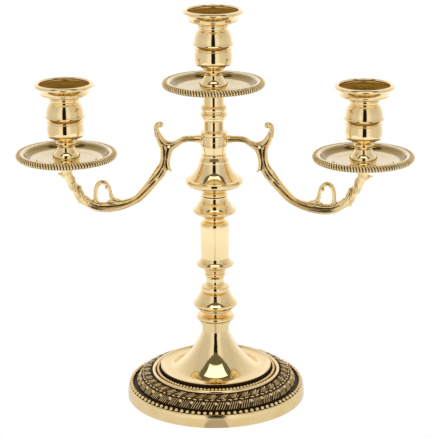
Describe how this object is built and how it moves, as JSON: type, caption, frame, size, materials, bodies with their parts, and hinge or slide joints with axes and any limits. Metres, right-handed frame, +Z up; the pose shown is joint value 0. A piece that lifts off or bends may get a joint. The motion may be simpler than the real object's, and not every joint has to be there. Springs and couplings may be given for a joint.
{
  "type": "candelabra",
  "caption": "Tabletop brass candelabra: round ornamented base, turned column, scroll-armed branch that turns on the column, drip pans with roped rims and flared candle cups.",
  "frame": {"origin": "centre of the base's underside, on the surface it stands on", "axes": "+Z up the column, +X towards the right arm, -X towards the left arm, +Y away from the viewer"},
  "size_m": [0.3366, 0.1544, 0.34],
  "materials": {
    "polished_brass": "high polish",
    "antique_brass": "polished relief with darkened recesses",
    "pan_brass": "polished, roped rim darkened",
    "cup_brass": "high polish outside, brushed inside",
    "zinc_steel": "zinc plated"
  },
  "bodies": {
    "column": {"base_ring": "antique_brass", "foot_trumpet": "polished_brass", "clamp_plate": "zinc_steel", "tie_rod": "zinc_steel", "rod_nuts": "zinc_steel", "rod_washers": "zinc_steel", "lower_collar": "polished_brass", "vase_knop": "polished_brass", "spool_neck": "polished_brass", "lower_ring_knop": "polished_brass", "column_shaft": "polished_brass", "upper_ring_knop": "polished_brass", "bell_knop": "polished_brass", "taper_collar": "polished_brass", "upper_stem": "polished_brass", "centre_drip_pan": "pan_brass", "centre_candle_cup": "cup_brass"},
    "branch": {"arm_hub": "polished_brass", "left_arm": "antique_brass", "right_arm": "antique_brass", "left_drip_pan": "pan_brass", "right_drip_pan": "pan_brass", "left_candle_cup": "cup_brass", "right_candle_cup": "cup_brass", "cup_screws": "zinc_steel"}
  },
  "joints": [
    {"name": "arm_swivel", "type": "hinge", "parent": "column", "child": "branch", "pos_m": [0, 0, 0.2301], "axis": [0, 0, 1], "continuous": true}
  ]
}
